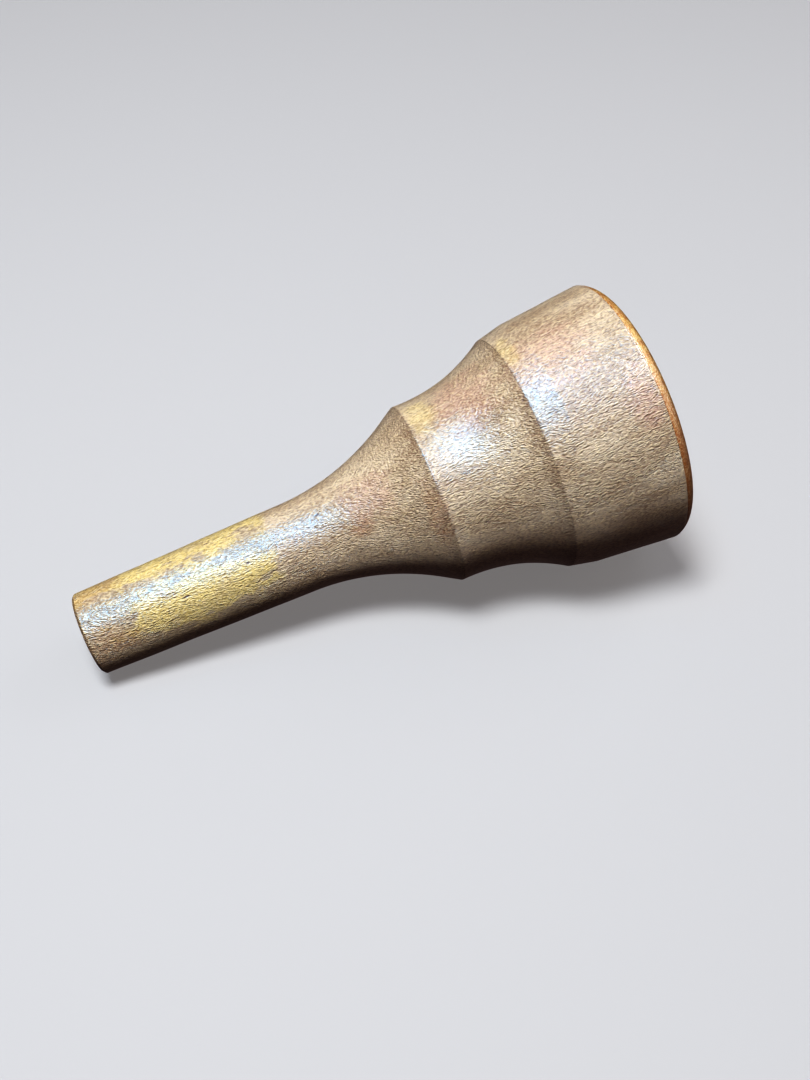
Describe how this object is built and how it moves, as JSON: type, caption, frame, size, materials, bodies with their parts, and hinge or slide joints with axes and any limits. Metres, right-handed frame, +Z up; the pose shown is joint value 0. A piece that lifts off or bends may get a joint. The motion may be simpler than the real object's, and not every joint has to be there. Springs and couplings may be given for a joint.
{
  "type": "mouthpiece",
  "caption": "Turned wooden mouthpiece for a large-shank trombone: tapered stem, flared cup with ridges, rounded amber rim.",
  "frame": {"origin": "on the table, under the centre of the mouthpiece's box, as it lies on its side", "axes": "+X along the mouthpiece towards its rim, +Z up. The bore climbs towards the rim in the XZ plane, because the mouthpiece leans on its tip edge and on its barrel"},
  "size_m": [0.0918, 0.0414, 0.0418],
  "materials": {
    "turned_wood": "satin clear lacquer over fine-grained pale maple",
    "rim_wood": "gloss amber lacquer over end grain"
  },
  "bodies": {
    "root": {"shank": "turned_wood", "cup_body": "turned_wood", "rim_barrel": "turned_wood", "rim_ring": "rim_wood"}
  },
  "joints": []
}
